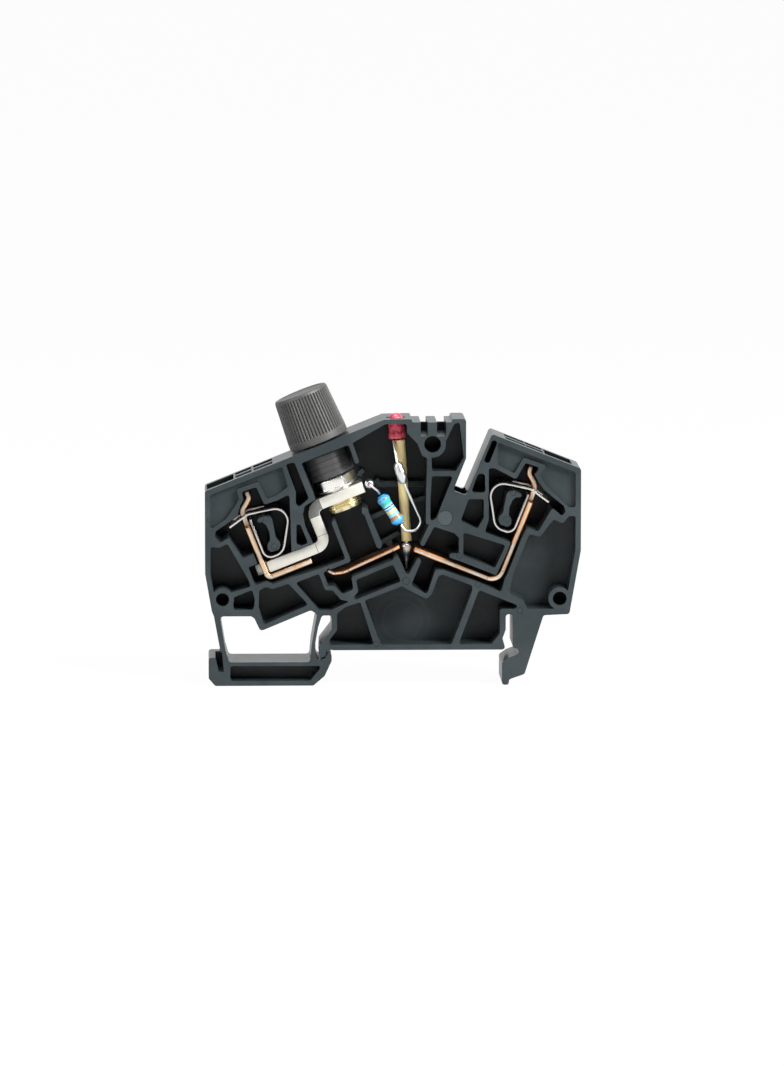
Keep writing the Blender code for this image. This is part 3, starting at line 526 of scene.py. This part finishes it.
def strip_faces(path, bend, score, worked=()):
    """The same, with the scored lines at both ends of each bend, and the cut edges of the worked bends, set apart."""
    reaches = bend_reaches(path, bend)

    def rule(face):
        kind = edges_of_strip(face)
        if kind == FLAT:
            return kind
        for number in range(1, len(path) - 1):
            corner, reach = path[number], reaches[number]
            away = face.center - corner
            away.y = 0
            if away.length > 2.5 * reach + score:
                continue
            far = max(away.dot((end - corner).normalized()) for end in (path[number - 1], path[number + 1]))
            if far < reach:
                return WORKED if kind == EDGE and number in worked else kind
            if far < reach + score:
                return SCORED
        return kind
    return rule


# Clamps: on each tower a bent bar with a narrow head, and a spring strip that runs round and back past the bar
LEFT_BAR_U, RIGHT_BAR_U = 4.75, 6.2
BAR_THICK, BAR_HALF, BAR_SCORE, HEAD_HALF, HEAD_END = 1.0, 4.0, 0.07, 2.5, 9.3
SPRING_THICK, SPRING_NEAR, SPRING_FAR, SPRING_BEND = 0.4, -4.7, 4.2, 2.4
SPRING_LEG = BAR_THICK / 2 + GAP + SPRING_THICK / 2
BUSBAR_THICK, BUSBAR_HALF, BUSBAR_LOW, BUSBAR_PLATE, BUSBAR_BEND, BUSBAR_SCORE = 2.1, 3.75, 17.75, 10.4, 1.8, 0.09
BUSBAR_RISE, BUSBAR_END = 17.05, 27.5
LEFT_FOOT_V, RIGHT_FOOT_V = BUSBAR_LOW + BUSBAR_THICK / 2 + GAP + BAR_THICK / 2 + 0.05, 25.5
HEAD_PATH = [(2.25, 3.2), (2.2, 4.6), (0.1, 6.3)]
SPRING_PATH = [(-3.1, 8.1), (0.9, 7.05), (9.0, 8.45), (4.4, 16.1), (SPRING_LEG, 16.1), (SPRING_LEG, 8.15)]

for tower, bar_u, foot_v, foot_end, bend, border, side in (
    (left, LEFT_BAR_U, LEFT_FOOT_V, 13.5, 0.9, pale_border, "left"),
    (right, RIGHT_BAR_U, RIGHT_FOOT_V, 23.0, 2.2, copper_border, "right"),
):
    path = [tower(bar_u + across, down) for across, down in HEAD_PATH]
    path += [tower(bar_u, HEAD_END), tower(bar_u, foot_v), tower(foot_end, foot_v)]
    bar = bent_strip(side + "_bar", path, BAR_THICK, -BAR_HALF, BAR_HALF, bend, BAR_SCORE)
    for near_y, far_y in ((-BAR_HALF - 1, -HEAD_HALF), (HEAD_HALF, BAR_HALF + 1)):
        combine(bar, block(tower, bar_u - 3, bar_u + 5, 1, HEAD_END, near_y, far_y))
    if side == "left":
        # The window that the busbar's narrow end passes
        reach = BUSBAR_THICK / 2 + GAP
        combine(bar, block(left, bar_u - 1.2, bar_u + 1.2, BUSBAR_LOW - reach, BUSBAR_LOW + reach, -2.3, 2.3))
    soften(bar, 0.2, segments=3, angle=50, clamp=False)
    dress(bar, [tinned_copper, bright_edge, border, dark_line], strip_faces(path, bend, BAR_SCORE))
    settle(bar, "base", side + "_current_bar")

    path = [tower(bar_u + across, down) for across, down in SPRING_PATH]
    cage = bent_strip(side + "_spring", path, SPRING_THICK, SPRING_NEAR, SPRING_FAR, SPRING_BEND)
    # The window in its top leg, for the bar's head
    combine(cage, block(tower, bar_u - 2.2, bar_u + 4.1, 6.4, 8.1, -HEAD_HALF - GAP, HEAD_HALF + GAP))
    soften(cage, 0.09, angle=50)
    dress(cage, [spring_steel, polished_edge, spring_steel], edges_of_strip)
    settle(cage, "base", side + "_clamp_spring")

# Busbar under the cap, with a narrow end and a hole for the bushing's shank
FUSE_AXIS = Vector((-math.sin(TILT), 0, math.cos(TILT)))
FUSE_ORIGIN = left(23.0, 0)
path = [left(3.2, BUSBAR_LOW), left(BUSBAR_RISE, BUSBAR_LOW), left(BUSBAR_RISE, BUSBAR_PLATE),
        left(BUSBAR_END, BUSBAR_PLATE)]
busbar = bent_strip("busbar", path, BUSBAR_THICK, -BUSBAR_HALF, BUSBAR_HALF, BUSBAR_BEND, BUSBAR_SCORE)
for near_y, far_y in ((-5, -2.0), (2.0, 5)):
    combine(busbar, block(left, 2, LEFT_BAR_U + BAR_THICK / 2 + GAP, BUSBAR_LOW - 2, BUSBAR_LOW + 2, near_y, far_y))
combine(busbar, stand(lathe("shank_hole", [(3.4, -8), (3.4, -13)]), FUSE_ORIGIN, FUSE_AXIS))
soften(busbar, 0.12, angle=50)
dress(busbar, [tin_plate, brushed_edge, tin_plate, dark_line, worked_metal],
      strip_faces(path, BUSBAR_BEND, BUSBAR_SCORE, worked=(2,)))
settle(busbar, "base", "fuse_busbar")

# Contact strip at the bottom
CONTACT_THICK, CONTACT_HALF, CONTACT_BEND, CONTACT_SCORE = 0.7, 3.5, 1.0, 0.06
path = [Vector((x, 0, z)) for x, z in
        ((-12.1, 21.2), (-11.0, 20.6), (-9.3, 20.8), (-8.2, 21.2), (-0.1, 24.9), (1.25, 25.55))]
contact = bent_strip("contact_strip", path, CONTACT_THICK, -CONTACT_HALF, CONTACT_HALF, CONTACT_BEND, CONTACT_SCORE)
soften(contact, 0.18, segments=3, angle=50)
dress(contact, [bare_copper, bright_edge, copper_border, dark_line], strip_faces(path, CONTACT_BEND, CONTACT_SCORE))
settle(contact, "base", "bottom_contact_strip")


# Socket: the barrel with its faint grooves, and the bushing of a hexagon, a flange and a threaded shank
def threads(radius, top, bottom, pitch, depth):
    """Rings of a fine thread from top to bottom: for each turn its crest, a slope and its root."""
    crest, slope, root = 0.35, 0.25, 0.35
    found = []
    for turn in range(int((top - bottom) / pitch)):
        height = top - turn * pitch
        found += [(radius, height), (radius, height - pitch * crest),
                  (radius - depth, height - pitch * (crest + slope)), (radius - depth, height - pitch * (crest + root))]
    return found


BARREL_RADIUS, BARREL_GROOVE = 4.2, 4.14
barrel_rings = [(3.5, -2.1), (4.12, -2.1), (BARREL_RADIUS, -2.2)]
for height in (-3.1, -4.2, -5.3):
    barrel_rings += [(BARREL_RADIUS, height), (BARREL_GROOVE, height - 0.06), (BARREL_GROOVE, height - 0.12),
                     (BARREL_RADIUS, height - 0.18)]
barrel_rings += [(BARREL_RADIUS, -6.45), (4.12, -6.55), (3.5, -6.55)]
turned("socket_barrel", barrel_rings, 96, FUSE_ORIGIN, FUSE_AXIS, glossy_black, 25, "fuse_socket_barrel", bored=True)

PLATE_TOP = -(BUSBAR_PLATE - BUSBAR_THICK / 2)
PLATE_BOTTOM = -(BUSBAR_PLATE + BUSBAR_THICK / 2)
THREAD_TOP = PLATE_BOTTOM - 0.1
HEX_RADIUS = 7.2 / math.sqrt(3)
HEX_TURN = math.radians(-11)
hexagon = lathe("hexagon_bushing", [
    (HEX_RADIUS - 0.2, -6.85), (HEX_RADIUS, -6.97), (HEX_RADIUS, -8.72), (HEX_RADIUS - 0.12, -8.8)], 6)
stand(hexagon, FUSE_ORIGIN, FUSE_AXIS, HEX_TURN)
soften(hexagon, 0.1, angle=50)
shank = lathe("shank", [
    (4.05, -8.7), (4.1, -8.78), (4.1, PLATE_TOP + GAP + 0.06), (4.05, PLATE_TOP + GAP), (3.1, PLATE_TOP + GAP),
    (3.1, THREAD_TOP), *threads(3.25, THREAD_TOP, -13.1, 0.42, 0.22), (2.95, -13.3)])
combine(hexagon, stand(shank, FUSE_ORIGIN, FUSE_AXIS), "UNION")
combine(hexagon, stand(lathe("bushing_bore", [(2.7, -5), (2.7, -15)]), FUSE_ORIGIN, FUSE_AXIS))
soften(hexagon, 0, smooth=25)
dress(hexagon, [nickel_plate, yellow_plate],
      lambda face: int((face.center - FUSE_ORIGIN).dot(FUSE_AXIS) < PLATE_BOTTOM))
settle(hexagon, "base", "socket_bushing")

# Screw cap: a tapered knob with V grooves up its side, and the plug below it
KNOB_HEIGHT, KNOB_RADIUS, KNOB_TOP, COLLAR = 9.7, 5.65, 5.1, 1.5
KNOB_TAPER = (KNOB_RADIUS - KNOB_TOP) / (KNOB_HEIGHT - COLLAR)
GROOVES, PER_GROOVE, GROOVE_FOOT, GROOVE_TOP = 54, 6, 1.7, 9.35
PLUG_RADIUS, PLUG_BORE, PLUG_END = 3.2, 2.8, -6.3


def knob_side(height):
    return (KNOB_RADIUS - KNOB_TAPER * (height - COLLAR), height)


def groove_line(spot, steps_from_middle):
    """Whether a point of the knob's side lies so many steps from the middle of its groove."""
    step = round(math.atan2(spot.y, spot.x) / math.tau * GROOVES * PER_GROOVE) % PER_GROOVE
    on_side = GROOVE_FOOT < spot.z < GROOVE_TOP and spot.xy.length > 4.5
    return on_side and min(step, PER_GROOVE - step) == steps_from_middle


knob = lathe("screw_cap", [
    (3.9, 9.84), (4.15, 9.88), (4.3, 9.98), (4.61, 9.99), (4.84, 9.93), (4.98, 9.82), (5.06, 9.67),
    *(knob_side(height) for height in (9.42, 9.3, 6.7, 4.2, 1.75, 1.6)), (KNOB_RADIUS, COLLAR - 0.05),
    (KNOB_RADIUS, 0.42), (5.55, GAP), (PLUG_RADIUS, GAP), (PLUG_RADIUS, -6.2), (3.1, PLUG_END), (PLUG_BORE, PLUG_END),
    (PLUG_BORE, 7.4), (0.3, 7.4)], GROOVES * PER_GROOVE)
for steps_from_middle, narrowed in ((0, 0.948), (1, 0.978)):
    pick(knob, lambda spot: groove_line(spot, steps_from_middle))
    bpy.ops.transform.resize(value=(narrowed, narrowed, 1), center_override=(0, 0, 0))
    take(knob)
stand(knob, FUSE_ORIGIN, FUSE_AXIS)
soften(knob, 0, smooth=22)
dress(knob, [grey_cap_plastic])
settle(knob, "cap", "fuse_cap")

# Lamp circuit
LEAD_RADIUS, LEAD_SIDES = 0.25, 20
FRONT_LEAD_Y, REAR_LEAD_Y = -3.2, -0.5
UP, OUT = Vector((0, 0, 1)), Vector((0, -1, 0))


def wire(name, path, bend, node):
    """A tinned lead in place of its plain solid: its end disc, drawn along the middle line."""
    first = (path[1] - path[0]).normalized()
    take()
    bpy.ops.mesh.primitive_circle_add(
        vertices=LEAD_SIDES, radius=LEAD_RADIUS, fill_type="NGON", location=path[0],
        rotation=first.to_track_quat("Z", "Y").to_euler())
    lead = begin(name)
    follow(path, bend)
    close_up(lead)
    soften(lead, 0.04, smooth=40)
    dress(lead, [tinned_wire])
    settle(lead, "base", node)


turned("indicator_lamp", [
    (0.2, 4.68), (0.62, 4.58), (0.95, 4.36), (1.2, 4.05), (1.38, 3.66), (1.47, 3.25), (1.5, 2.8), (1.5, 1.05),
    (1.56, 0.95), (1.65, 0.88), (1.65, 0.12), (1.58, 0.0), (0.3, 0.0)],
    48, Vector((0.9, -1.6, 45.7)), Vector((-0.085, 0, 1)).normalized(), red_plastic, 40, "lamp")

SLEEVE_BORE, SLEEVE_RADIUS, SLEEVE_RIM, SLEEVE_STEPS = 0.4, 0.92, 0.07, 24
sleeve_top = Vector((1.4, -1.2, 45.35))
sleeve_foot = Vector((2.7, REAR_LEAD_Y, 26.35))
sleeve_axis = (sleeve_top - sleeve_foot).normalized()
sleeve_length = (sleeve_top - sleeve_foot).length
rings = [(SLEEVE_BORE, 0.0), (0.86, 0.0), (SLEEVE_RADIUS, SLEEVE_RIM)]
for step in range(1, SLEEVE_STEPS):
    place = step / SLEEVE_STEPS
    rings.append((SLEEVE_RADIUS + 0.012 * math.sin(place * 19) + 0.008 * math.sin(place * 47),
                  SLEEVE_RIM + place * (sleeve_length - 2 * SLEEVE_RIM)))
rings += [(SLEEVE_RADIUS, sleeve_length - SLEEVE_RIM), (0.86, sleeve_length), (SLEEVE_BORE, sleeve_length)]
turned("lead_sleeve", rings, 32, sleeve_foot, sleeve_axis, olive_sleeving, 40, "insulating_sleeve", bored=True)

joint_centre = Vector((2.65, REAR_LEAD_Y, 25.0))
wire("sleeved_lead", [
    sleeve_top, sleeve_foot, joint_centre + Vector((0, 0, 1.2)), joint_centre - Vector((0, 0, 3.9))],
    0.3, "lamp_lead_sleeved")
turned("bar_joint", [
    (0.42, 0.95), (0.72, 0.93), (0.88, 0.84), (0.97, 0.66), (1.0, 0.42), (0.99, 0.1), (0.96, -0.3), (0.88, -0.72),
    (0.74, -1.1), (0.6, -1.45), (0.5, -1.85), (0.45, -2.38), (0.37, -2.4), (0.37, 0.95)],
    40, joint_centre, UP, solder, 50, "bar_solder_joint", bored=True)

SPLICE_STEPS = 16
splice_top = Vector((0.8, FRONT_LEAD_Y, 41.3))
splice_foot = Vector((2.1, FRONT_LEAD_Y, 37.4))
splice_axis = (splice_top - splice_foot).normalized()
splice_length = (splice_top - splice_foot).length
splice_middle = (splice_top + splice_foot) / 2
rings = [(0.48, 0.0)]
for step in range(1, SPLICE_STEPS):
    place = step / SPLICE_STEPS
    swell = math.sin(math.pi * place) ** 0.55
    rings.append((0.55 + 0.44 * swell - 0.03 * math.sin(place * 21), place * splice_length))
turned("crimped_splice", rings + [(0.5, splice_length)], 32, splice_foot, splice_axis, solder, 50, "lead_splice")

RESISTOR_WAIST, RESISTOR_SWELL, RESISTOR_STEPS = 1.03, 0.22, 24
rings = [(0.3, 0.0), (0.6, 0.03), (0.88, 0.12)]
for step in range(RESISTOR_STEPS + 1):
    height = 0.2 + step / RESISTOR_STEPS * (RESISTOR_LENGTH - 0.4)
    from_end = min(height, RESISTOR_LENGTH - height)
    swell = math.exp(-((from_end - 0.85) / 0.62) ** 2)
    neck = min(1.0, (from_end / 0.55) ** 0.5)
    rings.append(((RESISTOR_WAIST + RESISTOR_SWELL * swell) * neck, height))
rings += [(0.88, RESISTOR_LENGTH - 0.12), (0.6, RESISTOR_LENGTH - 0.03), (0.3, RESISTOR_LENGTH)]
turned("resistor", rings, 40, RESISTOR_FOOT, RESISTOR_AXIS, blue_lacquer, 50, "resistor_body")

plate_joint = left(BUSBAR_END + 0.9 + GAP, BUSBAR_PLATE)
plate_joint.y = FRONT_LEAD_Y
wire("short_lead", [Vector((0.1, -1.9, 45.25)), splice_top, splice_middle + splice_axis * 0.2], 0.5, "lamp_lead_short")
wire("lower_resistor_lead", [
    splice_middle - splice_axis * 0.2, splice_foot, Vector((5.4, FRONT_LEAD_Y, 30.19)),
    Vector((4.35, FRONT_LEAD_Y, 28.49)), Vector((2.35, FRONT_LEAD_Y, 28.44)), RESISTOR_FOOT - RESISTOR_AXIS * GAP],
    1.8, "resistor_lead_lower")
wire("upper_resistor_lead", [
    plate_joint + Vector((0, 0.7, 0)), plate_joint + Vector((0, -1.5, 0)), Vector((-2.9, FRONT_LEAD_Y - 0.6, 36.1)),
    RESISTOR_TOP + RESISTOR_AXIS * 0.45], 0.4, "resistor_lead_upper")
turned("plate_joint", [
    (0.37, 0.8), (0.5, 0.8), (0.62, 0.72), (0.76, 0.5), (0.86, 0.2), (0.9, -0.15), (0.88, -0.5), (0.82, -0.8),
    (0.37, -0.8)],
    36, plate_joint, OUT, solder, 50, "plate_solder_joint", bored=True)


# Housing: rounded edges, a band that closes the slit in its left wall, and a post and a rib on its floors
housing = nodes["housing"]
weld = housing.modifiers.new("Weld", "WELD")
weld.merge_threshold = 0.002 * MM
edge = housing.modifiers.new("Soft edges", "BEVEL")
edge.width, edge.segments, edge.limit_method, edge.angle_limit = 0.13 * MM, 2, "ANGLE", math.radians(42)
edge.use_clamp_overlap = True
edge.harden_normals = True

wall = bent_strip("left_wall_band", [Vector((-34.33, 0, 20.985)), Vector((-33.63, 0, 16.985))], 0.94, -5.995, 2.2, 0)
soften(wall, 0)
dress(wall, [black_polyamide])
settle(wall, "base")

turned("floor_post", [(0.42, 0.0), (0.58, 0.0), (0.66, -0.08), (0.66, -3.6), (0.42, -3.6)],
       32, Vector((-0.49, 1.0, 25.75)), OUT, black_polyamide, 30)

path = [Vector((x, 0, z)) for x, z in ((-2.9, 37.5), (-2.45, 36.9), (-1.4, 36.85), (5.7, 36.85))]
shelf = bent_strip("shelf_rib", path, 1.1, 0.95, 4.5, 0.65)
soften(shelf, 0.08, angle=60)
dress(shelf, [black_polyamide])
settle(shelf, "base")


# Background and floor: white where they are seen, in gloss too, but giving the object only a little light
WHITE = (1.0, 1.0, 1.0)
SKY_LIGHT = 0.10
FRONT_GLOSS = 0.10
LEFT_DIMMING = 0.75
FLOOR_GLOW = 0.97


def seen_directly(tree):
    """1 for rays from the camera, off glossy surfaces and through clear ones."""
    camera_ray, glossy_ray, clear_ray = [
        tree.node("ShaderNodeLightPath", output=kind)
        for kind in ("Is Camera Ray", "Is Glossy Ray", "Is Transmission Ray")]
    return camera_ray.math("MAXIMUM", glossy_ray).math("MAXIMUM", clear_ray)


world = bpy.data.worlds.new("studio")
bpy.context.scene.world = world
sky = Tree(world)
frontness = sky.along("Generated", (0, -1, 0)).between(0.35, 0.95)
leftness = sky.along("Generated", (-1, 0, 0)).between(0.3, 0.9)
dimmed = (1.0 - frontness * (1 - FRONT_GLOSS)) * (1.0 - leftness * LEFT_DIMMING)
to_camera = sky.node("ShaderNodeLightPath", output="Is Camera Ray")
lit = sky.node("ShaderNodeBackground", {}, [WHITE, SKY_LIGHT])
shown = sky.node("ShaderNodeBackground", {}, [WHITE, dimmed.math("MAXIMUM", to_camera)])
both = sky.node("ShaderNodeMixShader", {}, [seen_directly(sky), lit, shown])
sky.node("ShaderNodeOutputWorld", {}, {"Surface": both})

floor_paint = bpy.data.materials.new("floor_paint")
tree = Tree(floor_paint)
matt = tree.node("ShaderNodeBsdfDiffuse", {}, [(0.86, 0.86, 0.86)])
glow = tree.node("ShaderNodeEmission", {}, [WHITE, 1.0])
tree.surface(tree.node("ShaderNodeMixShader", {}, [seen_directly(tree) * FLOOR_GLOW, matt, glow]))

bpy.ops.object.select_all(action="DESELECT")
bpy.ops.mesh.primitive_plane_add(size=8)
floor = bpy.context.object
floor.name = "floor"
floor.data.materials.append(floor_paint)

# Soft square lamps, in metres and watts
LAMP_AIM = Vector((0, 0, 0.03))
for name, place, size, watts in (
    ("key", Vector((0.62, -0.55, 0.60)), 0.42, 17.0),
    ("fill", Vector((-0.80, -0.60, 0.40)), 0.45, 3.4),
    ("over", Vector((0.0, -0.15, 0.95)), 0.5, 6.0),
):
    lamp = bpy.data.objects.new(name, bpy.data.lights.new(name, "AREA"))
    bpy.context.scene.collection.objects.link(lamp)
    lamp.data.energy, lamp.data.size = watts, size
    lamp.location = place
    lamp.rotation_euler = (LAMP_AIM - place).to_track_quat("-Z", "Y").to_euler()
